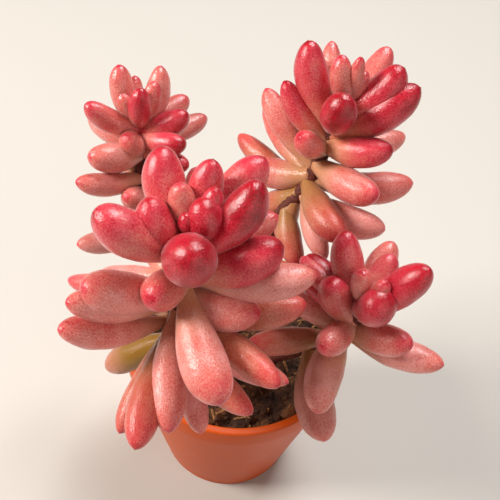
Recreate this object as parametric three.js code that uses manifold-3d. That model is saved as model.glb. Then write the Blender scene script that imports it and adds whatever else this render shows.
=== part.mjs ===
// A potted jelly bean plant (Sedum rubrotinctum): four leafy stems stand in the soil of a small round
// plastic nursery pot. Each stem carries plump bean-shaped leaves, crowded into a rosette at its tip.
// Millimetres, +Z up. The origin is the middle of the pot's underside, and the viewer stands on -Y.
import * as THREE from "three";
import { mergeVertices } from "three/addons/utils/BufferGeometryUtils.js";
import Module from "manifold-3d";

const wasm = await Module();
wasm.setup();

// Pot: a thin-walled cone with a thicker collar, as moulded nursery pots have.
const POT_HEIGHT = 48.3;
const RIM_RADIUS = 27.5;
const LIP_WIDTH = 1.9;
const LIP_ROUNDING = 0.5;
const COLLAR_HEIGHT = 5.9;
const COLLAR_FOOT_RADIUS = 27.2;
const COLLAR_STEP = 0.9;
const BASE_RADIUS = 18.4;
const BASE_ROUNDING = 0.6;
const WALL = 1.0;
const FLOOR_THICKNESS = 1.4;
const POT_SIDES = 40;
const DRAIN_COUNT = 5;
const DRAIN_RADIUS = 2.4;
const DRAIN_CIRCLE_RADIUS = 11;

// Soil: fills the pot to a little under the rim, with a lumpy top.
const SOIL_LEVEL = 43.6;
const SOIL_RELIEF = 0.9;
const SOIL_RINGS = 5;
const SOIL_SIDES = 24;
const SEAT_GAP = 0.35;

// Stems: round, with the tips of the youngest leaves above their ends.
const STEM_RADIUS = 1.6;
const STEM_SIDES = 6;
const STEM_STEP = 6;

// Leaves: each is turned from a profile, flattened and bent. Its root starts on the stem's axis, so that it
// is sunk well in. Young leaves are egg-shaped, and old ones are longer, with a narrower root and tip.
const LEAF_SIDES = 6;
const LEAF_STATIONS = [0.12, 0.42, 0.72, 0.93];
const LEAF_BEND = 0.05;
const LEAF_THICKNESS = 1.0;
const UPPER_FLATNESS = 0.96;
const YOUNG = { length: 8, root: 0.6, widest: 0.52, swelling: 1.3, bluntness: 2.6, closing: 0.5 };
const OLD = { length: 24, root: 0.24, widest: 0.66, swelling: 1.6, bluntness: 2.3, closing: 0.56 };

// Buds: the newest leaves, in a spiral round the growing tip.
const BUD_COUNT = 3;
const BUD_BELOW = 0.2;
const BUD_LENGTH = 3.2;
const BUD_WIDTH = 1.8;
const BUD_RISE = 70;
const GOLDEN_ANGLE = 137.5;

// The four leafy stems. path runs from the root in the soil to the growing tip. Each row of leaves is
// [mm below the tip, bearing, rise, length, width]: bearing is in degrees round +Z from +X, and rise is in
// degrees above the horizontal. Rows go roughly from the youngest leaves at the tip down to the oldest.
// farSide gives how many leaves stand on the side turned away, and between which values they lie.
const LEAFY_STEMS = {
  leafy_stem_front: {
    colour: 0xd9636f,
    path: [
      [-8, -9, 28], [-8, -9.5, 45], [-11.5, -17, 62], [-12, -20.5, 76], [-10.5, -20, 90], [-8.5, -18.5, 102],
    ],
    leaves: [
      [0.5, -135, 65, 5.5, 3.2], [2, 10, 75, 9, 6], [1, 38, 64, 9.5, 4.2], [2, 140, 70, 10.5, 5],
      [2.5, 72, 60, 14.3, 5.8], [3.5, 95, 35, 13.5, 4], [4.5, 125, 50, 18, 7.5], [5.5, -78, 45, 15, 9],
      [5, -165, 35, 18.5, 8], [5.5, 20, 50, 18.5, 7.5], [5.5, 50, 35, 21, 7.5], [8, 178, 65, 15.5, 7.5],
      [8.5, 30, 20, 18.5, 6], [10, 5, 25, 18.5, 8.5], [10.5, 165, -25, 19, 4.5], [11, -115, 20, 10.5, 7],
      [11, 0, 10, 23.5, 7], [11, -65, -20, 23.5, 8.5], [12.5, 170, -20, 24.5, 5],
      [15.5, -15, 5, 15.5, 7.5], [16, -150, 30, 19.5, 8], [18, -150, 25, 21.5, 6.5],
      [18, -35, -5, 24.5, 6], [18.5, -85, -25, 23, 7], [21, 5, 10, 24.5, 6.5], [21.5, -97, -15, 25.5, 6.5],
      [22, -110, -28, 23.5, 5], [23.5, -20, -10, 24.5, 5.5], [23, -145, 25, 23.5, 6.5],
      [25, -40, -15, 22.5, 6], [26.5, -65, -25, 20.5, 5.5], [30, 179, -45.5, 21, 6.5],
    ],
    farSide: { count: 6, below: [8, 22], bearing: [60, 140], length: [14, 19] },
  },
  leafy_stem_right: {
    colour: 0xcf6a70,
    path: [[8, -5, 28], [8.5, -5.5, 45], [16, -10, 60], [22, -14, 74], [24, -15.5, 86]],
    leaves: [
      [0.5, -20, 70, 6.5, 3.5], [2, 155, 75, 8, 4.5], [3.5, 140, 2, 16, 5], [2, 60, 28, 11, 5.5],
      [4.5, -50, 60, 9.5, 7.3], [5, 65, 35, 15, 6], [5.5, 135, 10, 15.5, 5.5], [6, 117, 50, 16.5, 6.5],
      [7, -2, 58, 19, 7], [7, 145, 10, 14.5, 5.5], [9, 165, 55, 11.5, 7.2], [10, -125, 12, 11, 6],
      [11, 155, 0, 15, 5.5], [11.5, -30, 20, 14, 6.5], [13.5, -105, -20, 18, 7.5], [14, -20, 5, 21, 6.5],
      [19, -170, -10, 18, 6], [27, -78, -15, 21, 8.5],
    ],
    farSide: { count: 4, below: [9, 22], bearing: [50, 130], length: [13, 17] },
  },
  leafy_stem_back_right: {
    colour: 0xd3686c,
    path: [
      [3, 6, 28], [3, 6.5, 45], [4, 9, 68], [6.2, 9.5, 79.6], [11, 11, 88], [14, 14, 98], [17, 17, 108],
    ],
    leaves: [
      [0.5, -80, 80, 10, 3], [1, -5, 70, 7, 3.5], [2, -170, 75, 11, 4.5], [4, 55, 30, 17, 5.5],
      [4.5, 105, 35, 15.5, 4.5], [7, -90, 60, 12, 7], [6.5, 10, 50, 17, 7.5], [8, 145, 60, 18.5, 7],
      [9.5, 5, 40, 20, 7.5], [11, 160, 45, 15.5, 5], [11.5, 20, 0, 18, 6], [11.5, -25, 20, 14.5, 6.5],
      [12.5, -140, 40, 9.5, 5.2], [16, -45, 10, 16.5, 7], [17, 140, 35, 19.5, 5.5],
      [18.5, 150, -20, 17, 7], [19, 125, 15, 20.5, 5], [19.5, 0, 5, 21.5, 7], [20.5, -64, -2.5, 16.5, 7],
      [20.5, -70, -30, 17, 5], [22, 135, 0, 22, 5.5], [23.5, -20, -5, 19.5, 7], [23.5, 145, -45, 13, 6],
      [25, -120, -75, 12, 5], [28, -70, -35, 13.5, 5.5], [52, -90, -50, 12, 5],
    ],
    farSide: { count: 5, below: [9, 30], bearing: [55, 110], length: [14, 18] },
  },
  leafy_stem_back_left: {
    colour: 0xd96b70,
    path: [[-9, 6, 28], [-9.5, 6.5, 45], [-20, 13, 62], [-25.5, 18, 76], [-27, 25, 92]],
    leaves: [
      [1, 110, 50, 9, 4], [1.5, -165, 60, 8, 4], [2, 31, 67, 10.2, 4.4], [3, -60, 80, 11, 5],
      [3, 45, 10, 13.5, 5.5], [3.5, 0, 25, 12, 6], [4, -160, 35, 14, 5.5], [4.5, 140, 65, 15.5, 5.7],
      [4.5, 60, 60, 15.5, 5.7], [5.5, -25, 15, 12.5, 5.5], [6.5, 35, 5, 17, 5.5], [7.5, -25, 0, 13, 5.5],
      [8, 160, 15, 14, 5], [8.5, -125, 55, 7.5, 5.5], [9, -140, 15, 13, 7], [10.5, 150, -65, 10.5, 4.5],
      [15, -145, 15, 16, 5.6], [19, -110, 30, 9, 5.5], [28.5, -155, 0, 19, 6],
    ],
    farSide: { count: 5, below: [9, 30], bearing: [60, 170], length: [11, 15] },
  },
};

const { degToRad, lerp, clamp } = THREE.MathUtils;

// A closed geometry as a manifold-3d solid.
function solidOf(geometry) {
  const bare = geometry.clone();
  bare.deleteAttribute("normal");
  bare.deleteAttribute("uv");
  const merged = mergeVertices(bare, 1e-4);
  return new wasm.Manifold(
    new wasm.Mesh({
      numProp: 3,
      vertProperties: merged.attributes.position.array,
      triVerts: new Uint32Array(merged.index.array),
    }),
  );
}

// The geometry of a manifold-3d solid.
function geometryOf(solid) {
  const mesh = solid.getMesh();
  const geometry = new THREE.BufferGeometry();
  geometry.setAttribute("position", new THREE.BufferAttribute(mesh.vertProperties, 3));
  geometry.setIndex(new THREE.BufferAttribute(mesh.triVerts, 1));
  geometry.computeVertexNormals();
  return geometry;
}

// A turned shape with +Z as its axis, from [radius, height] pairs.
function turned(profile, sides) {
  const points = profile.map(([radius, height]) => new THREE.Vector2(radius, height));
  return new THREE.LatheGeometry(points, sides).rotateX(Math.PI / 2);
}

// Moves each point of a geometry by a function of its place.
function shape(geometry, move) {
  const { position } = geometry.attributes;
  const point = new THREE.Vector3();
  for (let i = 0; i < position.count; i++) {
    move(point.fromBufferAttribute(position, i));
    position.setXYZ(i, point.x, point.y, point.z);
  }
  return geometry;
}

// A round bar along a curve.
function bar(curve, radius) {
  const section = new THREE.Shape().absarc(0, 0, radius, 0, 2 * Math.PI);
  return new THREE.ExtrudeGeometry(section, {
    extrudePath: curve,
    steps: Math.round(curve.getLength() / STEM_STEP),
    curveSegments: STEM_SIDES / 2,
    bevelEnabled: false,
  });
}

// A leaf's half width as a share of its widest, at t of its length. age goes from 0, young, to 1, old.
function fullness(t, age) {
  const between = (key) => lerp(YOUNG[key], OLD[key], age);
  const root = between("root");
  const widest = between("widest");
  if (t < widest) return root + (1 - root) * Math.sin((Math.PI / 2) * (t / widest)) ** between("swelling");
  return (1 - ((t - widest) / (1 - widest)) ** between("bluntness")) ** between("closing");
}

// One leaf from its root on the stem, curved up a little towards the growing tip.
function leafGeometry(root, stemAxis, [, bearing, rise, length, width]) {
  const age = clamp((length - YOUNG.length) / (OLD.length - YOUNG.length), 0, 1) ** 2;
  const outline = LEAF_STATIONS.map((t) => [(width / 2) * fullness(t, age), t * length]);
  const leaf = turned([[0, 0], ...outline, [0, length]], LEAF_SIDES);
  shape(leaf, (point) => {
    const t = point.z / length;
    point.y *= LEAF_THICKNESS * (point.y > 0 ? UPPER_FLATNESS : 1);
    point.y -= LEAF_BEND * length * 4 * t * (1 - t);
  });
  const heading = new THREE.Vector3(1, 0, 0)
    .applyAxisAngle(new THREE.Vector3(0, -1, 0), degToRad(rise))
    .applyAxisAngle(new THREE.Vector3(0, 0, 1), degToRad(bearing));
  const upper = stemAxis.clone().projectOnPlane(heading).normalize();
  const across = upper.clone().cross(heading);
  return leaf.applyMatrix4(new THREE.Matrix4().makeBasis(across, upper, heading).setPosition(root));
}

// The newest leaves, which close the growing tip.
function budRows() {
  const row = (_, i) => [BUD_BELOW, i * GOLDEN_ANGLE, BUD_RISE, BUD_LENGTH, BUD_WIDTH];
  return Array.from({ length: BUD_COUNT }, row);
}

// The far side's leaves, which lean lower and grow longer down the stem.
function farSideRows({ count, below, bearing, length }) {
  return Array.from({ length: count }, (_, i) => {
    const down = (i + 0.5) / count;
    const round = (i * GOLDEN_ANGLE / 360) % 1;
    const size = lerp(...length, down);
    return [lerp(...below, down), lerp(...bearing, round), lerp(20, -25, down), size, 1.8 + size / 4];
  });
}

// A body without the small hollows that crowded leaf roots can close off inside it.
function withoutHollows(solid) {
  const skins = solid.decompose();
  return skins.reduce((outer, skin) => (skin.volume() > outer.volume() ? skin : outer));
}

// A stem with all its leaves, fused into one body.
function leafyStemSolid(curve, rows) {
  const height = curve.getLength();
  const leaves = rows.map((row) => {
    const u = 1 - row[0] / height;
    return solidOf(leafGeometry(curve.getPointAt(u), curve.getTangentAt(u), row));
  });
  return withoutHollows(leaves.reduce((body, leaf) => body.add(leaf), solidOf(bar(curve, STEM_RADIUS))));
}

// The pot, with its drain holes.
function potSolid() {
  const collarFoot = POT_HEIGHT - COLLAR_HEIGHT;
  const neck = COLLAR_FOOT_RADIUS - COLLAR_STEP;
  const lipInside = RIM_RADIUS - LIP_WIDTH;
  const shell = turned(
    [
      [0, 0],
      [BASE_RADIUS - BASE_ROUNDING, 0],
      [BASE_RADIUS, BASE_ROUNDING],
      [neck, collarFoot],
      [COLLAR_FOOT_RADIUS, collarFoot],
      [RIM_RADIUS, POT_HEIGHT - LIP_ROUNDING],
      [RIM_RADIUS - LIP_ROUNDING, POT_HEIGHT],
      [lipInside + LIP_ROUNDING, POT_HEIGHT],
      [lipInside, POT_HEIGHT - LIP_ROUNDING],
      [neck - WALL, collarFoot - WALL],
      [BASE_RADIUS - WALL, FLOOR_THICKNESS],
      [0, FLOOR_THICKNESS],
    ],
    POT_SIDES,
  );
  let pot = solidOf(shell);
  for (let i = 0; i < DRAIN_COUNT; i++) {
    const drain = new THREE.CylinderGeometry(DRAIN_RADIUS, DRAIN_RADIUS, 4 * FLOOR_THICKNESS, 10);
    drain.rotateX(Math.PI / 2).translate(DRAIN_CIRCLE_RADIUS, 0, 0).rotateZ((2 * Math.PI * i) / DRAIN_COUNT);
    pot = pot.subtract(solidOf(drain));
  }
  return pot;
}

// The soil's radius at a height, which keeps the seat gap to the pot's flat-sided wall.
function soilRadius(z) {
  const neckHeight = POT_HEIGHT - COLLAR_HEIGHT - WALL;
  const neck = COLLAR_FOOT_RADIUS - COLLAR_STEP - WALL;
  const up = Math.min(1, (z - FLOOR_THICKNESS) / (neckHeight - FLOOR_THICKNESS));
  return lerp(BASE_RADIUS - WALL, neck, up) * Math.cos(Math.PI / POT_SIDES) - SEAT_GAP;
}

// The height of the soil's lumpy top, a little lower at the wall.
function soilHeight(x, y) {
  const lumps = Math.sin(0.42 * x + 1.3) * Math.cos(0.37 * y - 0.6) + 0.5 * Math.sin(0.9 * x - 0.8 * y);
  return SOIL_LEVEL + SOIL_RELIEF * lumps - (x * x + y * y) / 500;
}

// The soil, with a plain hole for each stem.
function soilSolid(stems) {
  const foot = FLOOR_THICKNESS + SEAT_GAP;
  const middle = SOIL_LEVEL / 2;
  const edge = soilRadius(SOIL_LEVEL);
  const profile = [[0, foot], [soilRadius(foot), foot], [soilRadius(middle), middle]];
  for (let i = 0; i <= SOIL_RINGS; i++) profile.push([edge * (1 - i / SOIL_RINGS), SOIL_LEVEL]);
  const ground = shape(turned(profile, SOIL_SIDES), (point) => {
    if (point.z > middle + 1) point.z = soilHeight(point.x, point.y);
  });
  let soil = solidOf(ground);
  for (const { path } of stems) {
    const [root, ...rest] = path;
    const hole = pathCurve([[root[0], root[1], root[2] - SEAT_GAP], ...rest]);
    soil = soil.subtract(solidOf(bar(hole, STEM_RADIUS + SEAT_GAP)));
  }
  return soil;
}

// The smooth line through a stem's path.
function pathCurve(path) {
  const points = path.map((point) => new THREE.Vector3(...point));
  return new THREE.CatmullRomCurve3(points, false, "catmullrom");
}

// A solid as a mesh with a plain colour.
function namedMesh(name, solid, color, roughness) {
  const material = new THREE.MeshStandardMaterial({ color, roughness, metalness: 0, flatShading: true });
  const mesh = new THREE.Mesh(geometryOf(solid), material);
  mesh.name = name;
  return mesh;
}

const plant = new THREE.Group();
for (const [name, { colour, path, leaves, farSide }] of Object.entries(LEAFY_STEMS)) {
  const rows = [...budRows(), ...leaves, ...farSideRows(farSide)];
  plant.add(namedMesh(name, leafyStemSolid(pathCurve(path), rows), colour, 0.42));
}

const pottedPlant = new THREE.Group();
pottedPlant.add(namedMesh("pot", potSolid(), 0xb4562f, 0.45));
pottedPlant.add(namedMesh("soil", soilSolid(Object.values(LEAFY_STEMS)), 0x2e2018, 0.95));
pottedPlant.add(plant);

export default pottedPlant;
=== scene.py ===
"""Looks of a potted jelly bean plant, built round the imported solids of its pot, soil and four leafy stems.

Blender works in metres and +Z is up. Sizes here are in millimetres, and MeshDraft turns them to metres.
The origin is the middle of the pot's underside, and the viewer stands on -Y.
"""

import logging
import math
import random
from collections.abc import Sequence
from dataclasses import dataclass, field, replace
from enum import Enum

import bpy
import numpy as np
from mathutils import Matrix, Vector, noise


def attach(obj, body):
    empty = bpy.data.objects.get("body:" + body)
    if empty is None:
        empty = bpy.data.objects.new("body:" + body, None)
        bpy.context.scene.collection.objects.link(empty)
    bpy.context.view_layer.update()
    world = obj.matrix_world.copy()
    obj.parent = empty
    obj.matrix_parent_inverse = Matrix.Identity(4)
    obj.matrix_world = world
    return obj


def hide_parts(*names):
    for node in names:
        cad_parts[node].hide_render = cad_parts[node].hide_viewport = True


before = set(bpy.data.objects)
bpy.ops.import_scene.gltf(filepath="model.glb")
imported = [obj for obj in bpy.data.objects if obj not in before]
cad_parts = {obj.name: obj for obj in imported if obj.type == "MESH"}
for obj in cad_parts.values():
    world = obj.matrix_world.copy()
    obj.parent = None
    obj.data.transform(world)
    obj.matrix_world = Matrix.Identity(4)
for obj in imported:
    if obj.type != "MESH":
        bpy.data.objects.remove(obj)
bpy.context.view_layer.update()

Pair = tuple[float, float]
Place = tuple[float, float, float]
Array = np.ndarray
Material = bpy.types.Material
Socket = bpy.types.NodeSocket

LOG = logging.getLogger("potted_plant")
BODY = "root"
MM = 0.001
GOLDEN_ANGLE = 137.5


def linear(hex_colour: str) -> tuple[float, float, float, float]:
    """Turns an sRGB colour to the linear values that shaders use.

    Args:
        hex_colour: Six hex digits, with or without a leading #.

    Returns:
        Linear red, green and blue, and an alpha of 1.
    """
    digits = hex_colour.lstrip("#")
    channels = [int(digits[i : i + 2], 16) / 255 for i in (0, 2, 4)]
    red, green, blue = (c / 12.92 if c <= 0.04045 else ((c + 0.055) / 1.055) ** 2.4 for c in channels)
    return red, green, blue, 1.0


def smoothstep(low: float, high: float, x: Array) -> Array:
    """Eases from 0 where x is at most low to 1 where it is at least high."""
    t = np.clip((x - low) / (high - low), 0.0, 1.0)
    return t * t * (3 - 2 * t)


def mix(a: float, b: float, t: float) -> float:
    """Goes from a to b as t goes from 0 to 1."""
    return a + (b - a) * t


def waves(points: Array, size: float, seed: float) -> Array:
    """Smooth noise from about -1 to 1 at each point, with bumps of the given size in millimetres."""
    shift = Vector((seed, 2.3 * seed, -1.7 * seed))
    return np.array([noise.noise(Vector(p) / size + shift) for p in points])


def angles_round(sides: int) -> Array:
    """The angles in radians of points spaced evenly round a full turn."""
    return 2 * np.pi * np.arange(sides) / sides


def level_ring(radius: float, height: float | Array, turn: Array) -> Array:
    """Points of a level circle about the Z axis, one for each angle."""
    heights = np.broadcast_to(height, turn.shape)
    return np.stack([radius * np.cos(turn), radius * np.sin(turn), heights], axis=1)


def combine(ways: Sequence[Array], *amounts: Array) -> Array:
    """Goes along each way by its own grid of amounts, and adds the ways up to a grid of points."""
    return np.stack(np.broadcast_arrays(*amounts), axis=-1) @ np.array(ways)


def grain(place_on: Socket, size_mm: float, detail: float, roughness: float) -> dict[str, object]:
    """Inputs of a noise texture whose grains have a real size."""
    return {"Vector": place_on, "Scale": 1 / (size_mm * MM), "Detail": detail, "Roughness": roughness}


class MeshDraft:
    """The points, faces and point values of one piece, in millimetres until it becomes an object."""

    def __init__(self) -> None:
        """Starts an empty piece."""
        self.points: list[Array] = []
        self.faces: list[tuple[int, ...]] = []
        self.values: dict[str, list[Array]] = {}
        self.count = 0

    def add(self, points: Array, faces: Sequence[tuple[int, ...]], **values: Array) -> None:
        """Adds points, the faces between them and values on them.

        Args:
            points: N by 3, in millimetres.
            faces: Corners of each face, counted from this call's first point.
            **values: For each named value, one number for each point.
        """
        self.faces += [tuple(corner + self.count for corner in face) for face in faces]
        self.points.append(points)
        self.count += len(points)
        for name, numbers in values.items():
            self.values.setdefault(name, []).append(numbers)

    def skin(self, rings: Array, start: Array, end: Array, **values: Array) -> None:
        """Adds a closed skin over rings of points, with one more point at each end.

        Args:
            rings: Rings by sides by 3. Each ring turns left about the way from start to end.
            start: The point that closes the first ring.
            end: The point that closes the last ring.
            **values: For each named value, rings by sides numbers. The ends take their rings' means.
        """
        count, sides = rings.shape[:2]
        points = np.vstack([rings.reshape(-1, 3), start, end])
        faces = []
        for ring in range(count - 1):
            for side in range(sides):
                a, b = ring * sides + side, ring * sides + (side + 1) % sides
                faces.append((a, b, b + sides, a + sides))
        last = (count - 1) * sides
        for side in range(sides):
            following = (side + 1) % sides
            faces.append((count * sides, following, side))
            faces.append((count * sides + 1, last + side, last + following))
        ends = {name: [grid[0].mean(), grid[-1].mean()] for name, grid in values.items()}
        flat = {name: np.concatenate([grid.ravel(), ends[name]]) for name, grid in values.items()}
        self.add(points, faces, **flat)

    def object(self, name: str) -> bpy.types.Object:
        """Makes the piece, in metres and with smooth faces.

        Args:
            name: The object's name.

        Returns:
            The new object, linked to the scene.
        """
        mesh = bpy.data.meshes.new(name)
        mesh.from_pydata((np.vstack(self.points) * MM).tolist(), [], self.faces)
        for key, numbers in self.values.items():
            attribute = mesh.attributes.new(key, "FLOAT", "POINT")
            attribute.data.foreach_set("value", np.concatenate(numbers).astype(np.float32))
        mesh.polygons.foreach_set("use_smooth", [True] * len(mesh.polygons))
        mesh.update()
        return link(name, mesh)


def link(name: str, data: bpy.types.ID) -> bpy.types.Object:
    """Makes an object of a mesh, lamp or camera, links it to the scene and returns it."""
    made = bpy.data.objects.new(name, data)
    bpy.context.scene.collection.objects.link(made)
    return made


def place(piece: bpy.types.Object, material: Material, slot: str, *nodes: str) -> None:
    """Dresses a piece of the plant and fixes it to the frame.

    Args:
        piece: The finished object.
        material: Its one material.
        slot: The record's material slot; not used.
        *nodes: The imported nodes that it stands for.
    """
    piece.data.materials.clear()
    piece.data.materials.append(material)
    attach(piece, BODY)
    if nodes:
        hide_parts(*nodes)
    LOG.info("%s: %d faces", piece.name, len(piece.data.polygons))


class Shader:
    """A material's nodes, with one way to add to them."""

    def __init__(self, name: str) -> None:
        """Starts an empty material of that name."""
        self.material = bpy.data.materials.new(name)
        self.material.use_nodes = True
        self.tree = self.material.node_tree
        self.tree.nodes.clear()

    def add(
        self,
        kind: str,
        inputs: dict[str | int, object],
        output: str | int = 0,
        stops: Sequence[tuple[float, str]] = (),
        **settings: object,
    ) -> Socket | None:
        """Adds a node with its settings and links.

        Args:
            kind: The node's type, without the ShaderNode in front.
            inputs: For each input, a socket to link or a constant.
            output: The output that is wanted.
            stops: For a colour ramp, its places and sRGB colours.
            **settings: The node's own properties.

        Returns:
            The wanted output, or None for a node without outputs.
        """
        node = self.tree.nodes.new(f"ShaderNode{kind}")
        for key, value in settings.items():
            setattr(node, key, value)
        for key, value in inputs.items():
            if isinstance(value, Socket):
                self.tree.links.new(value, node.inputs[key])
            else:
                node.inputs[key].default_value = value
        for index, (position, colour) in enumerate(stops):
            elements = node.color_ramp.elements
            element = elements[index] if index < len(elements) else elements.new(position)
            element.position = position
            element.color = linear(colour)
        return node.outputs[output] if node.outputs else None

    def finish(self, surface: dict[str, object]) -> Material:
        """Gives the material its surface, from the inputs of a Principled BSDF, and returns it."""
        self.add("OutputMaterial", {"Surface": self.add("BsdfPrincipled", surface)})
        return self.material


@dataclass(frozen=True)
class WaxySucculentLeaf:
    """Skin of a jelly bean leaf: a thin waxy cuticle over clear, water-filled flesh.

    The wax gives soft, broken highlights, and light that goes into the flesh comes out warm. Red sun pigment
    lies in single skin cells, so the colour is made of fine dots on a pale ground. It is thickest at the tip
    and on young leaves. Old leaves have less wax, and sap shows pale at their roots.
    """

    name: str = "waxy_succulent_leaf"
    pale: str = "#E29892"
    salmon: str = "#CE6A60"
    rose: str = "#C83848"
    crimson: str = "#AA0420"
    deep: str = "#780008"
    olive: str = "#865E14"
    sap: str = "#CA9A6C"
    dust: str = "#FFE0E4"
    cell_mm: float = 0.42
    cell_core: float = 0.15
    cell_edge: float = 0.45
    cell_red: float = 0.16
    dot_mm: float = 0.3
    dot_share: float = 0.7
    dot_middle: float = 0.48
    cloud_mm: float = 4.0
    cloud_share: float = 0.5
    pattern_middle: float = 0.65
    relief_mm: float = 0.12
    relief_strength: float = 0.8
    ior: float = 1.44
    specular: float = 0.2
    roughness: float = 0.4
    uneven_roughness: float = 0.25
    wax: float = 1.0
    wax_roughness: float = 0.17
    dust_weight: float = 0.35
    dust_roughness: float = 0.3
    flesh_weight: float = 0.1
    flesh_depth_mm: float = 1.6
    flesh_reach: Place = (1.0, 0.32, 0.2)

    def material(self) -> Material:
        """Builds the material, which reads the points' blush, green, cream and gloss values."""
        shader = Shader(self.name)
        place_on = shader.add("TexCoord", {}, "Object")
        blush, green, cream, gloss = (
            shader.add("Attribute", {}, "Fac", attribute_name=value)
            for value in ("blush", "green", "cream", "gloss")
        )
        dots = shader.add("TexNoise", grain(place_on, self.dot_mm, 2.0, 0.6))
        clouds = shader.add("TexNoise", grain(place_on, self.cloud_mm, 2.0, 0.5))
        cells = shader.add("TexVoronoi", {"Vector": place_on, "Scale": 1 / (self.cell_mm * MM)})
        reach = {"Value": cells, "From Min": self.cell_core, "From Max": self.cell_edge}
        specks = shader.add("MapRange", {**reach, "To Min": self.cell_red, "To Max": 0.0})
        amount = shader.add("Math", {0: blush, 1: self.pattern_middle}, operation="SUBTRACT")
        for pattern, share in ((dots, self.dot_share), (clouds, self.cloud_share), (specks, 1.0)):
            summed = {0: pattern, 1: share, 2: amount}
            amount = shader.add("Math", summed, operation="MULTIPLY_ADD")
        reds = [(0.0, self.pale), (0.28, self.salmon), (0.5, self.rose), (0.76, self.crimson)]
        colour = shader.add("ValToRGB", {"Fac": amount}, stops=[*reds, (1.0, self.deep)])
        # A Mix node's colours are its inputs 6 and 7, and its mixed colour is output 2.
        for share, tint in ((cream, self.sap), (green, self.olive)):
            tinted = {"Factor": share, 6: colour, 7: linear(tint)}
            colour = shader.add("Mix", tinted, 2, data_type="RGBA")
        bumps = {"Height": dots, "Strength": self.relief_strength, "Distance": self.relief_mm * MM}
        relief = shader.add("Bump", bumps)
        smoothest = self.roughness - self.uneven_roughness * self.dot_middle
        dulled = {0: dots, 1: self.uneven_roughness, 2: smoothest}
        surface = {
            "Base Color": colour,
            "Roughness": shader.add("Math", dulled, operation="MULTIPLY_ADD"),
            "IOR": self.ior,
            "Specular IOR Level": self.specular,
            "Normal": relief,
            "Subsurface Weight": self.flesh_weight,
            "Subsurface Radius": self.flesh_reach,
            "Subsurface Scale": self.flesh_depth_mm * MM,
            "Coat Weight": shader.add("Math", {0: gloss, 1: self.wax}, operation="MULTIPLY"),
            "Coat Roughness": self.wax_roughness,
            "Coat Normal": relief,
            "Sheen Weight": self.dust_weight,
            "Sheen Roughness": self.dust_roughness,
            "Sheen Tint": linear(self.dust),
        }
        return shader.finish(surface)


@dataclass(frozen=True)
class CorkyStemBark:
    """Bark of an old succulent stem: a thin, dry brown skin that has split along the stem as it thickened.

    It is matt, with lengthwise cracks and paler ridges.
    """

    name: str = "corky_stem_bark"
    crack: str = "#240A06"
    skin: str = "#5A2014"
    ridge: str = "#8A4A34"
    crack_mm: float = 0.5
    crack_squeeze: Place = (1.0, 1.0, 0.3)
    relief_mm: float = 0.2
    relief_strength: float = 0.8
    ior: float = 1.45
    roughness: float = 0.72

    def material(self) -> Material:
        """Builds the material."""
        shader = Shader(self.name)
        place_on = shader.add("TexCoord", {}, "Object")
        drawn_out = shader.add("Mapping", {"Vector": place_on, "Scale": self.crack_squeeze})
        cracks = shader.add("TexNoise", grain(drawn_out, self.crack_mm, 4.0, 0.65))
        browns = [(0.3, self.crack), (0.52, self.skin), (0.75, self.ridge)]
        relief = {"Height": cracks, "Strength": self.relief_strength, "Distance": self.relief_mm * MM}
        surface = {
            "Base Color": shader.add("ValToRGB", {"Fac": cracks}, stops=browns),
            "Roughness": self.roughness,
            "IOR": self.ior,
            "Normal": shader.add("Bump", relief),
        }
        return shader.finish(surface)


@dataclass(frozen=True)
class MouldedPolypropylene:
    """Polypropylene coloured through like terracotta and injection moulded, as nursery pots are.

    The mould leaves an even satin skin, with a faint orange peel, and handling leaves fine dull scuffs. Thin
    walls let a little light through, so edges glow.
    """

    name: str = "moulded_polypropylene"
    base: str = "#B4460E"
    worn: str = "#BC521C"
    peel_mm: float = 0.7
    peel_depth_mm: float = 0.05
    peel_strength: float = 0.12
    scuff_mm: float = 6.0
    scuff_dulling: float = 0.2
    ior: float = 1.49
    specular: float = 0.2
    roughness: float = 0.4
    glow_weight: float = 0.1
    glow_depth_mm: float = 0.8
    glow_reach: Place = (1.0, 0.4, 0.2)

    def material(self) -> Material:
        """Builds the material."""
        shader = Shader(self.name)
        place_on = shader.add("TexCoord", {}, "Object")
        peel = shader.add("TexNoise", grain(place_on, self.peel_mm, 2.0, 0.5))
        scuffs = shader.add("TexNoise", grain(place_on, self.scuff_mm, 6.0, 0.7))
        oranges = [(0.45, self.base), (0.85, self.worn)]
        dulled = {0: scuffs, 1: self.scuff_dulling, 2: self.roughness - self.scuff_dulling / 2}
        relief = {"Height": peel, "Strength": self.peel_strength, "Distance": self.peel_depth_mm * MM}
        surface = {
            "Base Color": shader.add("ValToRGB", {"Fac": scuffs}, stops=oranges),
            "Roughness": shader.add("Math", dulled, operation="MULTIPLY_ADD"),
            "IOR": self.ior,
            "Specular IOR Level": self.specular,
            "Normal": shader.add("Bump", relief),
            "Subsurface Weight": self.glow_weight,
            "Subsurface Radius": self.glow_reach,
            "Subsurface Scale": self.glow_depth_mm * MM,
        }
        return shader.finish(surface)


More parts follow.
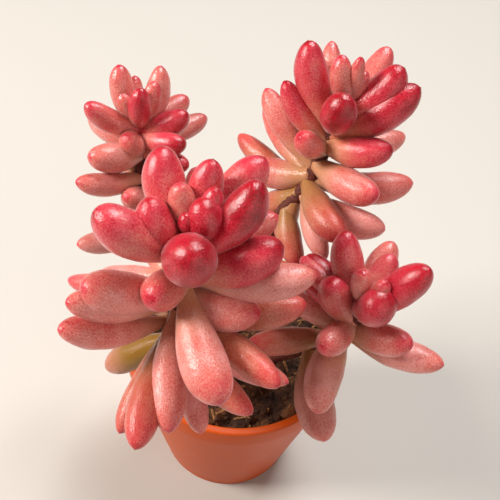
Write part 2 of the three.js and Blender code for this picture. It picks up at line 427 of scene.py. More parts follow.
@dataclass(frozen=True)
class MoistPeat:
    """Moist peat: crumbly and matt, nearly black where it is wet and brown where it has dried."""

    name: str = "moist_peat"
    wet: str = "#24120A"
    damp: str = "#4A2C16"
    dry: str = "#84522C"
    crumb_mm: float = 0.6
    crumb_share: float = 0.65
    crumb_cut: float = 0.2
    crumb_depth_mm: float = 0.35
    patch_mm: float = 5.0
    patch_share: float = 0.7
    ior: float = 1.45
    roughness: float = 0.88

    def material(self) -> Material:
        """Builds the material."""
        shader = Shader(self.name)
        place_on = shader.add("TexCoord", {}, "Object")
        crumbs = shader.add("TexNoise", grain(place_on, self.crumb_mm, 5.0, 0.7))
        patches = shader.add("TexNoise", grain(place_on, self.patch_mm, 2.0, 0.5))
        dryness = -self.crumb_cut
        for pattern, share in ((crumbs, self.crumb_share), (patches, self.patch_share)):
            summed = {0: pattern, 1: share, 2: dryness}
            dryness = shader.add("Math", summed, operation="MULTIPLY_ADD")
        browns = [(0.32, self.wet), (0.52, self.damp), (0.75, self.dry)]
        relief = {"Height": crumbs, "Strength": 1.0, "Distance": self.crumb_depth_mm * MM}
        surface = {
            "Base Color": shader.add("ValToRGB", {"Fac": dryness}, stops=browns),
            "Roughness": self.roughness,
            "IOR": self.ior,
            "Normal": shader.add("Bump", relief),
        }
        return shader.finish(surface)


@dataclass(frozen=True)
class DryPlantFibre:
    """Dry stalks and root fibres in the peat: matt and straw-brown, mottled darker where they are damp."""

    name: str = "dry_plant_fibre"
    dark: str = "#643E22"
    pale: str = "#A87644"
    mottle_mm: float = 0.8
    ior: float = 1.45
    roughness: float = 0.7

    def material(self) -> Material:
        """Builds the material."""
        shader = Shader(self.name)
        place_on = shader.add("TexCoord", {}, "Object")
        mottles = shader.add("TexNoise", grain(place_on, self.mottle_mm, 3.0, 0.6))
        browns = [(0.35, self.dark), (0.65, self.pale)]
        colour = shader.add("ValToRGB", {"Fac": mottles}, stops=browns)
        return shader.finish({"Base Color": colour, "Roughness": self.roughness, "IOR": self.ior})


@dataclass(frozen=True)
class PaintedBoard:
    """A board with matt white paint, the plain floor of the studio."""

    name: str = "painted_board"
    paint: str = "#B9B5AF"
    ior: float = 1.5
    roughness: float = 0.6

    def material(self) -> Material:
        """Builds the material."""
        surface = {"Base Color": linear(self.paint), "Roughness": self.roughness, "IOR": self.ior}
        return Shader(self.name).finish(surface)


class GrownAndPaintedLight(Enum):
    """How much sun a leaf has had, with painted light and shade in its colour.

    The values are what a class adds to the blush, the share of green, and the share of a young leaf's red.
    Besides real sun colouring they hold painted light and shade: HALF_SHADE makes leaves that sit in shade
    darker and browner, and WEAK_SUN and LIGHT_SHADE make paler the leaves that the lamps light too little.
    """

    FULL_SUN = (0.26, 0.0, 1.0)
    SUN = (0.0, 0.0, 1.0)
    SOFT_SUN = (-0.02, 0.0, 0.6)
    WEAK_SUN = (-0.12, 0.03, 0.4)
    HALF_SHADE = (0.1, 0.36, 0.5)
    LIGHT_SHADE = (-0.2, 0.2, 0.0)
    SHADE = (-0.2, 1.0, 0.0)


FULL_SUN, SUN, SOFT_SUN, WEAK_SUN, HALF_SHADE, LIGHT_SHADE, SHADE = GrownAndPaintedLight

# In millimetres: how long egg-shaped and slim leaves are, and where the rosette fades below the tip.
EGG_LENGTH = 8
LONG_LENGTH = 24
ROSETTE_ENDS = (5.0, 13.0)


@dataclass(frozen=True)
class Leaf:
    """One leaf: millimetres below the growing tip, bearing and rise in degrees, length and width in mm."""

    below: float
    bearing: float
    rise: float
    length: float
    width: float
    # The leaf's class: its real sun colouring, together with painted light and shade in its colour.
    grown_and_painted_light: GrownAndPaintedLight = SUN

    @property
    def heading(self) -> Array:
        """The unit way from the leaf's root to its tip."""
        bearing, rise = math.radians(self.bearing), math.radians(self.rise)
        level = math.cos(rise)
        return np.array([math.cos(bearing) * level, math.sin(bearing) * level, math.sin(rise)])

    @property
    def slimness(self) -> float:
        """From 0 for a short leaf, shaped like an egg, to 1 for a long one with a narrow root and tip."""
        return min(1.0, max(0.0, (self.length - EGG_LENGTH) / (LONG_LENGTH - EGG_LENGTH))) ** 2

    @property
    def youth(self) -> float:
        """From 1 for a leaf of the rosette to 0 for one well below it."""
        return 1 - float(smoothstep(*ROSETTE_ENDS, self.below))


@dataclass(frozen=True)
class LeafShape:
    """The form of a jelly bean leaf. A pair holds an egg-shaped leaf's value and a slim one's."""

    sides: int = 24
    rings: int = 30
    ring_crowding: float = 1.7
    root_share: Pair = (0.6, 0.24)
    widest_at: Pair = (0.52, 0.66)
    swelling: Pair = (1.3, 1.6)
    tip_fullness: Pair = (2.6, 2.3)
    tip_bluntness: Pair = (0.5, 0.56)
    widest_play: float = 0.05
    least_bow: float = 0.035
    most_bow: float = 0.07
    sway: float = 0.04
    top_flatness: float = 0.96
    dent_depth: float = 0.14
    dent_width: float = 3.2
    smooth_root: float = 0.3
    tip_point: float = 0.12

    def grid(self) -> tuple[Array, Array]:
        """Places along a leaf, as a column that crowds towards the tip, and angles round it, as a row."""
        even = np.linspace(0, 1, self.rings + 1)[:-1]
        return (1 - (1 - even) ** self.ring_crowding)[:, None], angles_round(self.sides)[None, :]

    def fullness(self, t: Array, slimness: float, widest_shift: float) -> Array:
        """A leaf's half width along its length as a share of its widest.

        Args:
            t: Places along the leaf, from 0 at the root to 1 at the tip.
            slimness: From 0, shaped like an egg, to 1, slim.
            widest_shift: Moves the widest place along the leaf.

        Returns:
            The share at each place, 0 at the tip.
        """
        root = mix(*self.root_share, slimness)
        widest = mix(*self.widest_at, slimness) + widest_shift
        rise = np.sin(np.pi / 2 * np.minimum(t / widest, 1)) ** mix(*self.swelling, slimness)
        past = np.clip((t - widest) / (1 - widest), 0, 1)
        closing = (1 - past ** mix(*self.tip_fullness, slimness)) ** mix(*self.tip_bluntness, slimness)
        return np.where(t < widest, root + (1 - root) * rise, closing)


@dataclass(frozen=True)
class LeafColours:
    """How red, green and cream lie on a leaf, and how much of it is glossy.

    A pair whose name ends in _at is two places along the leaf, from 0 at the root to 1 at the tip. Any other
    pair is two amounts: for an old leaf and a young one, or for the least and the most chance.
    """

    blush: float = 0.2
    young_blush: float = 0.42
    chance_blush: float = 0.14
    most_blush: float = 0.84
    root_share: float = 0.2
    body_at: Pair = (0.0, 0.66)
    tip_blush: float = 0.16
    tip_at: Pair = (0.7, 1.0)
    spot_blush: float = 0.22
    sunny_spot: float = 0.2
    spot_at: Pair = (0.965, 1.0)
    top_blush: float = 0.06
    keel_blush: Pair = (0.04, 0.16)
    keel_width: float = 0.6
    keel_at: Pair = (0.25, 0.7)
    # Darker red at each leaf's root: partly the red-brown of its joint with the stem, partly painted shade
    # where leaf and stem meet.
    collar_red_and_shade: Pair = (0.07, 0.35)
    collar_red_and_shade_at: Pair = (0.08, 0.26)
    old_green: Pair = (0.1, 0.4)
    old_green_at: Pair = (0.1, 0.7)
    tip_clearing: float = 0.6
    clearing_at: Pair = (0.55, 1.0)
    cream: Pair = (0.35, 0.75)
    cream_at: Pair = (0.1, 0.55)
    gloss: Pair = (0.5, 1.0)

    def over(self, leaf: Leaf, chance: float, t: Array, turn: Array) -> dict[str, Array]:
        """The values that the leaf's material reads, at each point of a leaf.

        Args:
            leaf: The leaf.
            chance: The leaf's own random number from 0 to 1.
            t: Places along the leaf, as a column.
            turn: Angles round the leaf, as a row. A quarter turn is its top, and three quarters its keel.

        Returns:
            A grid for each of blush, green, cream and gloss.
        """
        # The class adds real sun colouring and painted light and shade to the blush and the green.
        shift, green, youth_red = leaf.grown_and_painted_light.value
        young, old = leaf.youth, 1 - leaf.youth
        red = self.blush + self.young_blush * young * youth_red + self.chance_blush * (chance - 0.5) + shift
        body = smoothstep(*self.body_at, t)
        keel = np.exp(-(((turn - 1.5 * np.pi) / self.keel_width) ** 2)) * smoothstep(*self.keel_at, t)
        spot = self.spot_blush + self.sunny_spot * max(0.0, shift)
        blush = red * mix(self.root_share, 1.0, body) + self.top_blush * np.sin(turn) * body
        blush = blush + self.tip_blush * smoothstep(*self.tip_at, t) + spot * smoothstep(*self.spot_at, t)
        blush = blush + mix(*self.keel_blush, young) * keel
        # Real red and painted shade together darken the leaf's root next to the stem.
        blush = blush + mix(*self.collar_red_and_shade, young) * (1 - smoothstep(*self.collar_red_and_shade_at, t))
        green = green * (1 - self.tip_clearing * smoothstep(*self.clearing_at, t))
        green = green + old * mix(*self.old_green, chance) * (1 - smoothstep(*self.old_green_at, t))
        cream = old * mix(*self.cream, chance) * (1 - smoothstep(*self.cream_at, t))
        values = {
            "blush": np.minimum(blush, self.most_blush),
            "green": np.clip(green, 0, 1),
            "cream": cream,
            "gloss": mix(*self.gloss, young),
        }
        return {name: np.broadcast_to(value, blush.shape) for name, value in values.items()}


class StemCurve:
    """A smooth curve through a stem's points, by the distance along it."""

    STEPS = 40

    def __init__(self, path: Sequence[Place]) -> None:
        """Samples the curve through the points of a path, from the root to the growing tip."""
        knots = np.array(path, float)
        knots = np.vstack([2 * knots[0] - knots[1], knots, 2 * knots[-1] - knots[-2]])
        samples = []
        for a, b, c, d in zip(knots, knots[1:], knots[2:], knots[3:]):
            for t in np.linspace(0, 1, self.STEPS, endpoint=False):
                cubic = (3 * b - a - 3 * c + d) * t**3 + (2 * a - 5 * b + 4 * c - d) * t**2
                samples.append(0.5 * (cubic + (c - a) * t + 2 * b))
        self.samples = np.vstack([*samples, knots[-2]])
        steps = np.linalg.norm(np.diff(self.samples, axis=0), axis=1)
        self.distances = np.concatenate([[0.0], np.cumsum(steps)])
        self.length = float(self.distances[-1])

    def point(self, below: float) -> Array:
        """The point at a distance below the growing tip."""
        distance = self.length - below
        return np.array([np.interp(distance, self.distances, self.samples[:, k]) for k in range(3)])

    def axis(self, below: float) -> Array:
        """The unit way along the stem towards the growing tip, at a distance below it."""
        way = self.point(max(0.0, below - 0.5)) - self.point(min(self.length, below + 0.5))
        return way / np.linalg.norm(way)


@dataclass
class LeafyStem:
    """One stem with its bark and its leaves, which sit in a spiral and crowd into a rosette at the tip.

    Each row is one leaf that the photograph shows, with its values in the order of a Leaf's.
    """

    node: str
    path: Sequence[Place]
    rows: Sequence[tuple[float | GrownAndPaintedLight, ...]]
    far_count: int
    far_below: Pair
    far_bearing: Pair
    far_length: Pair
    seed: int
    far_rise: Pair = (20, -25)
    far_width: float = 1.8
    far_fattening: float = 0.25
    root_radius: float = 1.7
    tip_radius: float = 1.5
    bark_sides: int = 20
    bark_step: float = 0.5
    bark_end: float = 0.01
    knob_height: float = 0.08
    knob_twist: float = 2.1
    knob_spacing: float = 2.6
    rough_height: float = 0.16
    rough_width: float = 1.6
    bud: Leaf = Leaf(below=0.2, bearing=0, rise=70, length=3.2, width=1.8)
    bud_count: int = 3
    shape: LeafShape = LeafShape()
    colours: LeafColours = LeafColours()
    draw: random.Random = field(init=False)
    curve: StemCurve = field(init=False)

    def __post_init__(self) -> None:
        """Seeds the stem's own random draws and lays its curve."""
        self.draw = random.Random(self.seed)
        self.curve = StemCurve(self.path)

    def buds(self) -> list[Leaf]:
        """The newest leaves, which close the growing tip."""
        return [replace(self.bud, bearing=i * GOLDEN_ANGLE) for i in range(self.bud_count)]

    def far_side(self) -> list[Leaf]:
        """The leaves on the side turned away, which lean lower and grow longer down the stem."""
        leaves = []
        for i in range(self.far_count):
            down = (i + 0.5) / self.far_count
            ends = (self.far_below, self.far_rise, self.far_length)
            below, rise, length = (mix(*pair, down) for pair in ends)
            bearing = mix(*self.far_bearing, (i * GOLDEN_ANGLE / 360) % 1)
            leaves.append(Leaf(below, bearing, rise, length, self.far_width + self.far_fattening * length))
        return leaves

    def add_leaf(self, draft: MeshDraft, leaf: Leaf) -> None:
        """Adds one leaf.

        Args:
            draft: The draft of all the stem's leaves.
            leaf: Where the leaf grows, how large it is, how much sun it has had and the painted light and
                shade of its colour.
        """
        shape, draw = self.shape, self.draw
        root, axis, heading = self.curve.point(leaf.below), self.curve.axis(leaf.below), leaf.heading
        upper = axis - heading * float(axis @ heading)
        upper /= np.linalg.norm(upper)
        ways = (np.cross(upper, heading), upper, heading)
        t, turn = shape.grid()
        fullness = shape.fullness(t, leaf.slimness, draw.uniform(-shape.widest_play, shape.widest_play))
        across = leaf.width / 2 * fullness * np.cos(turn)
        above = leaf.width / 2 * fullness * np.sin(turn) * np.where(np.sin(turn) > 0, shape.top_flatness, 1.0)
        arch = 4 * t * (1 - t) * leaf.length
        bow = -draw.uniform(shape.least_bow, shape.most_bow) * arch
        sway = draw.uniform(-shape.sway, shape.sway) * arch
        rings = root + combine(ways, sway + across, bow + above, t * leaf.length)
        outward = combine(ways, across, above, 0 * t)
        outward /= np.linalg.norm(outward, axis=2, keepdims=True)
        dents = waves(rings.reshape(-1, 3), shape.dent_width, self.seed).reshape(rings.shape[:2])
        dents = shape.dent_depth * dents * smoothstep(0.0, shape.smooth_root, t) * fullness
        tip = root + heading * (leaf.length + shape.tip_point)
        colours = self.colours.over(leaf, draw.random(), t, turn)
        draft.skin(rings + outward * dents[..., None], root, tip, **colours)

    def leaves_piece(self, material: Material) -> None:
        """Builds all the stem's leaves as one piece."""
        draft = MeshDraft()
        for leaf in [*self.buds(), *(Leaf(*row) for row in self.rows), *self.far_side()]:
            self.add_leaf(draft, leaf)
        place(draft.object(f"{self.node}_leaves"), material, "leaf", self.node)

    def bark_piece(self, material: Material) -> None:
        """Builds the stem itself, knobbly where leaves grow or have fallen."""
        draft = MeshDraft()
        turn = angles_round(self.bark_sides)
        rings = []
        for u in np.linspace(0, 1, int(self.curve.length / self.bark_step) + 1):
            below = mix(self.curve.length - self.bark_end, self.bark_end, u)
            axis = self.curve.axis(below)
            across = np.cross(axis, [0, 1, 0])
            across /= np.linalg.norm(across)
            knobs = np.sin(2 * turn + self.knob_twist * below) * math.sin(self.knob_spacing * below)
            radius = mix(self.root_radius, self.tip_radius, u) * (1 + self.knob_height * knobs)
            ways = (across, np.cross(axis, across))
            ring = combine(ways, radius * np.cos(turn), radius * np.sin(turn))
            rings.append(self.curve.point(below) + ring)
        grid = np.array(rings)
        rough = waves(grid.reshape(-1, 3), self.rough_width, self.seed).reshape(*grid.shape[:2], 1)
        centres = grid.mean(axis=1, keepdims=True)
        outward = grid - centres
        outward /= np.linalg.norm(outward, axis=2, keepdims=True)
        grid = grid + self.rough_height * rough * outward
        draft.skin(grid, centres[0, 0], centres[-1, 0])
        place(draft.object(f"{self.node}_bark"), material, "stem_bark", self.node)


@dataclass
class NurseryPot:
    """The small round pot: a thin tapered wall, a thick collar round the rim and a floor with drain holes."""

    height: float = 48.3
    rim_radius: float = 27.5
    lip_width: float = 1.9
    collar_height: float = 5.9
    collar_foot_radius: float = 27.2
    collar_step: float = 0.9
    base_radius: float = 18.4
    wall: float = 1.0
    floor: float = 1.4
    bead: float = 0.25
    sides: int = 192
    drain_count: int = 5
    drain_radius: float = 2.4
    drain_circle: float = 11.0
    drain_sides: int = 24
    foot_round: float = 0.6
    wall_steps: int = 12
    bead_out: float = 0.05
    bead_drop: float = 0.55
    collar_round: float = 0.35
    lip_round: float = 0.5
    inner_bevel: float = 0.5
    hub: float = 0.5

    def arc(self, centre: Pair, radius: float, start: float, end: float) -> list[list[float]]:
        """Points of the profile round a rounded edge.

        Args:
            centre: The arc's centre, as radius and height.
            radius: The arc's radius.
            start: The angle of its first point in degrees.
            end: The angle of its last point in degrees.

        Returns:
            Pairs of radius and height.
        """
        angles = np.radians(np.linspace(start, end, 7))
        return [[centre[0] + radius * math.cos(a), centre[1] + radius * math.sin(a)] for a in angles]

    def profile(self) -> list[list[float]]:
        """The wall's outline, from the middle of the underside, out and up, over the lip and down inside."""
        foot = self.height - self.collar_height
        neck = self.collar_foot_radius - self.collar_step
        inside = self.rim_radius - self.lip_width
        lip = self.height - self.lip_round
        outline = [[self.hub, 0.0]]
        outline += self.arc((self.base_radius - self.foot_round, self.foot_round), self.foot_round, -90, 0)
        for share in np.linspace(0, 1, self.wall_steps + 1):
            height = mix(self.foot_round + 0.2, foot - 1.2, share)
            outline.append([mix(self.base_radius, neck, share), height])
        outline += [[neck + self.bead_out, foot - self.bead_drop - self.bead - 0.1]]
        outline += self.arc((neck + self.bead_out, foot - self.bead_drop), self.bead, -90, 90)
        outline += [[neck + 2 * self.bead_out, foot - self.bead_drop + self.bead + 0.1]]
        collar = (self.collar_foot_radius - self.collar_round, foot + self.collar_round)
        outline += self.arc(collar, self.collar_round, -90, 0)
        outline += self.arc((self.rim_radius - self.lip_round, lip), self.lip_round, 0, 90)
        outline += self.arc((inside + self.lip_round, lip), self.lip_round, 90, 180)
        inner_foot = self.base_radius - self.wall
        outline += [[neck - self.wall, foot - self.wall], [inner_foot, self.floor + self.inner_bevel]]
        outline += [[inner_foot - self.inner_bevel, self.floor], [self.hub, self.floor]]
        return outline

    def build(self, material: Material) -> None:
        """Builds the pot, cuts its drain holes and dresses it."""
        turn = -angles_round(self.sides)
        rings = np.array([level_ring(radius, height, turn) for radius, height in self.profile()])
        draft = MeshDraft()
        draft.skin(rings, np.array([0.0, 0.0, 0.0]), np.array([0.0, 0.0, self.floor]))
        pot = draft.object("pot_shell")
        drains = self.drains()
        cut = pot.modifiers.new("drains", "BOOLEAN")
        cut.object = drains
        cut.solver = "EXACT"
        bpy.context.view_layer.update()
        shape = bpy.data.meshes.new_from_object(pot.evaluated_get(bpy.context.evaluated_depsgraph_get()))
        pot.modifiers.clear()
        pot.data = shape
        bpy.data.objects.remove(drains)
        place(pot, material, "pot_plastic", "pot")

    def drains(self) -> bpy.types.Object:
        """One object with a round bar for each drain hole."""
        draft = MeshDraft()
        turn = angles_round(self.drain_sides)
        bottom, top = np.array([0, 0, -self.floor]), np.array([0, 0, 2 * self.floor])
        bar = np.array([level_ring(self.drain_radius, end[2], turn) for end in (bottom, top)])
        for centre in level_ring(self.drain_circle, 0.0, angles_round(self.drain_count)):
            draft.skin(bar + centre, bottom + centre, top + centre)
        return draft.object("drain_cutters")


@dataclass
class PottingSoil:
    """The soil: a body of peat with a lumpy top, loose crumbs on it and dry fibres lying about.

    The top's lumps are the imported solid's own. Its clods, grit, crumbs and fibres are finer than that.
    """

    level: float = 43.6
    relief: float = 0.9
    foot: float = 1.75
    foot_radius: float = 17.0
    edge_radius: float = 24.75
    rings: int = 110
    sides: int = 220
    dish: float = 500.0
    wall_top: float = 40.0
    clod_height: float = 0.45
    clod_width: float = 2.6
    grit_height: float = 0.28
    grit_width: float = 0.9
    crumb_count: int = 900
    crumb_sides: int = 8
    crumb_least: float = 0.25
    crumb_most: float = 1.0
    fibre_count: int = 110
    fibre_sides: int = 6
    fibre_rings: int = 9
    fibre_length: Pair = (1.5, 5.0)
    fibre_radius: Pair = (0.1, 0.4)
    fibre_curl: float = 0.5
    fibre_flatness: float = 0.6
    seed: int = 7

    def top(self, x: float, y: float) -> float:
        """The height of the soil's top, with its lumps, clods and grit. It is a little lower at the wall."""
        lumps = math.sin(0.42 * x + 1.3) * math.cos(0.37 * y - 0.6) + 0.5 * math.sin(0.9 * x - 0.8 * y)
        clod = self.clod_height * noise.noise(Vector((x / self.clod_width, y / self.clod_width, 0.3)))
        grit = self.grit_height * noise.noise(Vector((x / self.grit_width, y / self.grit_width, 4.1)))
        return self.level + self.relief * lumps - (x * x + y * y) / self.dish + clod + grit

    def body_piece(self, material: Material) -> None:
        """Builds the body of soil."""
        turn = angles_round(self.sides)
        rings = [level_ring(self.foot_radius * share, self.foot, turn) for share in (0.25, 0.5, 0.75, 1)]
        for share in np.linspace(0, 1, 9)[1:]:
            radius = mix(self.foot_radius, self.edge_radius, share)
            rings.append(level_ring(radius, mix(self.foot, self.wall_top, share), turn))
        for k in range(self.rings):
            ring = level_ring(self.edge_radius * (1 - k / self.rings), 0.0, turn)
            ring[:, 2] = [self.top(x, y) for x, y, _ in ring]
            rings.append(ring)
        draft = MeshDraft()
        centre = np.array([0.0, 0.0, self.top(0, 0)])
        draft.skin(np.array(rings), np.array([0.0, 0.0, self.foot]), centre)
        place(draft.object("soil_body"), material, "potting_soil", "soil")

    def spot(self, draw: random.Random, reach: float) -> Pair:
        """A random place on the soil's top, as x and y."""
        radius = reach * math.sqrt(draw.random())
        way = draw.uniform(0, 2 * math.pi)
        return radius * math.cos(way), radius * math.sin(way)

    def crumbs_piece(self, material: Material) -> None:
        """Scatters loose crumbs of peat, sunk a little into the top."""
        draw = random.Random(self.seed)
        draft = MeshDraft()
        turn = angles_round(self.crumb_sides)
        levels = np.radians([-54.0, -18.0, 18.0, 54.0])
        ball = np.array([level_ring(math.cos(level), math.sin(level), turn) for level in levels])
        flat = ball.reshape(-1, 3)
        for _ in range(self.crumb_count):
            size = mix(self.crumb_least, self.crumb_most, draw.random() ** 2.5)
            x, y = self.spot(draw, self.edge_radius - 1.2 * size)
            centre = np.array([x, y, self.top(x, y) + 0.25 * size])
            stretch = np.array([draw.uniform(0.8, 1.4), draw.uniform(0.7, 1.1), draw.uniform(0.5, 0.8)])
            spin = np.array(Matrix.Rotation(draw.uniform(0, math.pi), 3, "Z"))
            lumpy = flat * (1 + 0.35 * waves(flat, 0.9, draw.uniform(0, 90)))[:, None]
            grid = (lumpy * stretch * size) @ spin.T + centre
            pole = np.array([0, 0, 0.9 * stretch[2] * size])
            draft.skin(grid.reshape(ball.shape), centre - pole, centre + pole)
        place(draft.object("soil_crumbs"), material, "potting_soil")

    def fibres_piece(self, material: Material) -> None:
        """Lays dry fibres and bits of stalk on the top."""
        draw = random.Random(self.seed + 1)
        draft = MeshDraft()
        turn = angles_round(self.fibre_sides)
        for _ in range(self.fibre_count):
            length = draw.uniform(*self.fibre_length)
            radius = draw.uniform(*self.fibre_radius)
            x, y = self.spot(draw, self.edge_radius - length / 2 - 0.6)
            way = draw.uniform(0, 2 * math.pi)
            curl = draw.uniform(-self.fibre_curl, self.fibre_curl)
            rings = []
            for s in np.linspace(-0.5, 0.5, self.fibre_rings):
                angle = way + curl * s * 2
                px, py = x + math.cos(angle) * s * length, y + math.sin(angle) * s * length
                rise = 0.3 + 0.25 * math.sin(5 * s + way)
                centre = np.array([px, py, self.top(px, py) + rise])
                ways = ([-math.sin(angle), math.cos(angle), 0], [0, 0, self.fibre_flatness])
                rings.append(centre + radius * combine(ways, np.cos(turn), np.sin(turn)))
            grid = np.array(rings)
            draft.skin(grid, grid[0].mean(axis=0), grid[-1].mean(axis=0))
        place(draft.object("soil_fibres"), material, "potting_soil")

    def build(self, peat: Material, fibre: Material) -> None:
        """Builds the soil, its crumbs and its fibres."""
        self.body_piece(peat)
        self.crumbs_piece(peat)
        self.fibres_piece(fibre)


@dataclass(frozen=True)
class Lamp:
    """One soft square lamp that faces the plant: its way from it, distance and side in mm, and watts."""

    name: str
    way: Place
    distance: float
    side: float
    power: float
    colour: str

    def add(self, aim: Vector) -> None:
        """Adds the lamp to the scene, facing a point in metres."""
        lamp = bpy.data.lights.new(self.name, "AREA")
        lamp.size = self.side * MM
        lamp.energy = self.power
        lamp.color = linear(self.colour)[:3]
        holder = link(self.name, lamp)
        direction = Vector(self.way).normalized()
        holder.location = direction * self.distance * MM + aim
        holder.rotation_euler = direction.to_track_quat("Z", "Y").to_euler()


@dataclass
class Studio:
    """The camera, the soft lights and the plain pale floor."""

    camera_place: Place = (0.9, -93.5, 180.0)
    camera_down: float = 47.4
    camera_roll: float = 6.6
    camera_lens: float = 46.8
    sensor: float = 36.0
    floor_size: float = 4000.0
    aim_height: float = 70.0
    haze: str = "#F4F0EC"
    haze_strength: float = 0.1
    lamps: tuple[Lamp, ...] = (
        Lamp("low_sun", (-0.8, -0.12, 0.58), 900, 300, 11.8, "#FFF8F0"),
        Lamp("window_behind", (0.2, 0.45, 0.86), 1000, 400, 10.8, "#FFFEFC"),
        Lamp("front_fill", (0.6, -0.75, 0.35), 1300, 1800, 11.0, "#FFF0E6"),
    )

    def add_camera(self) -> None:
        """Places the camera at the photograph's viewing angle and makes it the scene's."""
        camera = bpy.data.cameras.new("camera")
        camera.sensor_width = self.sensor
        camera.lens = self.camera_lens
        camera.clip_start = 0.01
        holder = link("camera", camera)
        tilt = Matrix.Rotation(math.radians(90 - self.camera_down), 4, "X")
        roll = Matrix.Rotation(math.radians(self.camera_roll), 4, "Z")
        holder.matrix_world = Matrix.Translation(Vector(self.camera_place) * MM) @ tilt @ roll
        bpy.context.scene.camera = holder

    def add_floor(self, material: Material) -> None:
        """Lays the floor under the pot."""
        half = self.floor_size / 2
        corners = np.array([[-half, -half, 0], [half, -half, 0], [half, half, 0], [-half, half, 0]])
        draft = MeshDraft()
        draft.add(corners, [(0, 1, 2, 3)])
        floor = draft.object("floor")
        floor.data.materials.append(material)

    def build(self) -> None:
        """Builds the studio."""
        self.add_camera()
        self.add_floor(PaintedBoard().material())
        for lamp in self.lamps:
            lamp.add(Vector((0, 0, self.aim_height * MM)))
        world = bpy.data.worlds.new("studio")
        world.use_nodes = True
        background = world.node_tree.nodes["Background"].inputs
        background["Color"].default_value = linear(self.haze)
        background["Strength"].default_value = self.haze_strength
        scene = bpy.context.scene
        scene.world = world
        scene.view_settings.view_transform = "Standard"


def front_stem() -> LeafyStem:
    """The leafiest stem, which leans out towards the viewer."""
    return LeafyStem(
        node="leafy_stem_front",
        path=[
            (-8, -9, 28), (-8, -9.5, 45), (-11.5, -17, 62), (-12, -20.5, 76), (-10.5, -20, 90),
            (-8.5, -18.5, 102),
        ],
        rows=(
            (0.5, -135, 65, 5.5, 3.2), (2, 10, 75, 9, 6), (1, 38, 64, 9.5, 4.2),
            (2, 140, 70, 10.5, 5, WEAK_SUN), (2.5, 72, 60, 14.3, 5.8, SOFT_SUN),
            (3.5, 95, 35, 13.5, 4, WEAK_SUN), (4.5, 125, 50, 18, 7.5, SOFT_SUN),
            (5.5, -78, 45, 15, 9, FULL_SUN), (5, -165, 35, 18.5, 8, SOFT_SUN),
            (5.5, 20, 50, 18.5, 7.5, FULL_SUN), (5.5, 50, 35, 21, 7.5, SOFT_SUN),
            (8, 178, 65, 15.5, 7.5), (8.5, 30, 20, 18.5, 6, WEAK_SUN),
            (10, 5, 25, 18.5, 8.5, FULL_SUN), (10.5, 165, -25, 19, 4.5, WEAK_SUN),
            (11, -115, 20, 10.5, 7), (11, 0, 10, 23.5, 7, WEAK_SUN),
            (11, -65, -20, 23.5, 8.5, WEAK_SUN), (12.5, 170, -20, 24.5, 5), (15.5, -15, 5, 15.5, 7.5),
            (16, -150, 30, 19.5, 8), (18, -150, 25, 21.5, 6.5, WEAK_SUN),
            (18, -35, -5, 24.5, 6, HALF_SHADE), (18.5, -85, -25, 23, 7),
            (21, 5, 10, 24.5, 6.5, HALF_SHADE), (21.5, -97, -15, 25.5, 6.5, HALF_SHADE),
            (22, -110, -28, 23.5, 5, HALF_SHADE), (23.5, -20, -10, 24.5, 5.5, WEAK_SUN),
            (23, -145, 25, 23.5, 6.5), (25, -40, -15, 22.5, 6, HALF_SHADE),
            (26.5, -65, -25, 20.5, 5.5, WEAK_SUN), (30, 179, -45.5, 21, 6.5, SHADE),
        ),
        far_count=6, far_below=(8, 22), far_bearing=(60, 140), far_length=(14, 19), seed=11,
    )


def right_stem() -> LeafyStem:
    """The short stem that leans to the right."""
    return LeafyStem(
        node="leafy_stem_right",
        path=[(8, -5, 28), (8.5, -5.5, 45), (16, -10, 60), (22, -14, 74), (24, -15.5, 86)],
        rows=(
            (0.5, -20, 70, 6.5, 3.5, WEAK_SUN), (2, 155, 75, 8, 4.5, WEAK_SUN),
            (3.5, 140, 2, 16, 5, SOFT_SUN), (2, 60, 28, 11, 5.5, SOFT_SUN), (4.5, -50, 60, 9.5, 7.3),
            (5, 65, 35, 15, 6, WEAK_SUN), (5.5, 135, 10, 15.5, 5.5),
            (6, 117, 50, 16.5, 6.5, SOFT_SUN), (7, -2, 58, 19, 7), (7, 145, 10, 14.5, 5.5),
            (9, 165, 55, 11.5, 7.2), (10, -125, 12, 11, 6, SOFT_SUN),
            (11, 155, 0, 15, 5.5, WEAK_SUN), (11.5, -30, 20, 14, 6.5),
            (13.5, -105, -20, 18, 7.5, LIGHT_SHADE), (14, -20, 5, 21, 6.5, WEAK_SUN),
            (19, -170, -10, 18, 6, HALF_SHADE), (27, -78, -15, 21, 8.5, LIGHT_SHADE),
        ),
        far_count=4, far_below=(9, 22), far_bearing=(50, 130), far_length=(13, 17), seed=12,
    )


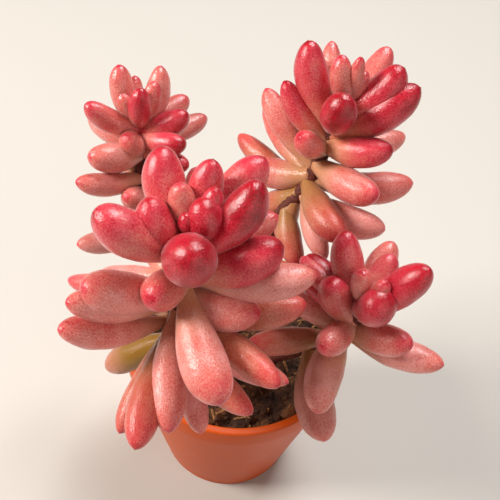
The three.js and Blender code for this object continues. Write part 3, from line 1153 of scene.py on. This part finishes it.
def back_right_stem() -> LeafyStem:
    """The tall stem behind, with an elbow and a long row of leaves."""
    return LeafyStem(
        node="leafy_stem_back_right",
        path=[
            (3, 6, 28), (3, 6.5, 45), (4, 9, 68), (6.2, 9.5, 79.6), (11, 11, 88), (14, 14, 98),
            (17, 17, 108),
        ],
        rows=(
            (0.5, -80, 80, 10, 3, WEAK_SUN), (1, -5, 70, 7, 3.5, WEAK_SUN),
            (2, -170, 75, 11, 4.5, WEAK_SUN), (4, 55, 30, 17, 5.5, WEAK_SUN),
            (4.5, 105, 35, 15.5, 4.5, WEAK_SUN), (7, -90, 60, 12, 7, FULL_SUN),
            (6.5, 10, 50, 17, 7.5), (8, 145, 60, 18.5, 7), (9.5, 5, 40, 20, 7.5, FULL_SUN),
            (11, 160, 45, 15.5, 5, FULL_SUN), (11.5, 20, 0, 18, 6, WEAK_SUN),
            (11.5, -25, 20, 14.5, 6.5, FULL_SUN), (12.5, -140, 40, 9.5, 5.2), (16, -45, 10, 16.5, 7),
            (17, 140, 35, 19.5, 5.5), (18.5, 150, -20, 17, 7), (19, 125, 15, 20.5, 5),
            (19.5, 0, 5, 21.5, 7), (20.5, -64, -2.5, 16.5, 7, HALF_SHADE),
            (20.5, -70, -30, 17, 5, LIGHT_SHADE), (22, 135, 0, 22, 5.5, HALF_SHADE),
            (23.5, -20, -5, 19.5, 7, WEAK_SUN), (23.5, 145, -45, 13, 6, HALF_SHADE),
            (25, -120, -75, 12, 5, HALF_SHADE), (28, -70, -35, 13.5, 5.5, HALF_SHADE),
            (52, -90, -50, 12, 5, SHADE),
        ),
        far_count=5, far_below=(9, 30), far_bearing=(55, 110), far_length=(14, 18), seed=13,
    )


def back_left_stem() -> LeafyStem:
    """The slim stem behind that leans out to the left."""
    return LeafyStem(
        node="leafy_stem_back_left",
        path=[(-9, 6, 28), (-9.5, 6.5, 45), (-20, 13, 62), (-25.5, 18, 76), (-27, 25, 92)],
        rows=(
            (1, 110, 50, 9, 4, WEAK_SUN), (1.5, -165, 60, 8, 4, WEAK_SUN),
            (2, 31, 67, 10.2, 4.4, WEAK_SUN), (3, -60, 80, 11, 5), (3, 45, 10, 13.5, 5.5, WEAK_SUN),
            (3.5, 0, 25, 12, 6), (4, -160, 35, 14, 5.5, SOFT_SUN),
            (4.5, 140, 65, 15.5, 5.7, WEAK_SUN), (4.5, 60, 60, 15.5, 5.7, WEAK_SUN),
            (5.5, -25, 15, 12.5, 5.5), (6.5, 35, 5, 17, 5.5, WEAK_SUN), (7.5, -25, 0, 13, 5.5),
            (8, 160, 15, 14, 5, WEAK_SUN), (8.5, -125, 55, 7.5, 5.5, WEAK_SUN),
            (9, -140, 15, 13, 7, WEAK_SUN), (10.5, 150, -65, 10.5, 4.5, HALF_SHADE),
            (15, -145, 15, 16, 5.6), (19, -110, 30, 9, 5.5), (28.5, -155, 0, 19, 6, WEAK_SUN),
        ),
        far_count=5, far_below=(9, 30), far_bearing=(60, 170), far_length=(11, 15), seed=14,
    )


def main() -> None:
    """Builds the studio and the plant."""
    logging.basicConfig(level=logging.INFO, format="%(name)s %(message)s")
    Studio().build()
    NurseryPot().build(MouldedPolypropylene().material())
    PottingSoil().build(MoistPeat().material(), DryPlantFibre().material())
    skin = WaxySucculentLeaf().material()
    bark = CorkyStemBark().material()
    for stem in (front_stem(), right_stem(), back_right_stem(), back_left_stem()):
        stem.leaves_piece(skin)
        stem.bark_piece(bark)


if __name__ == "__main__":
    main()
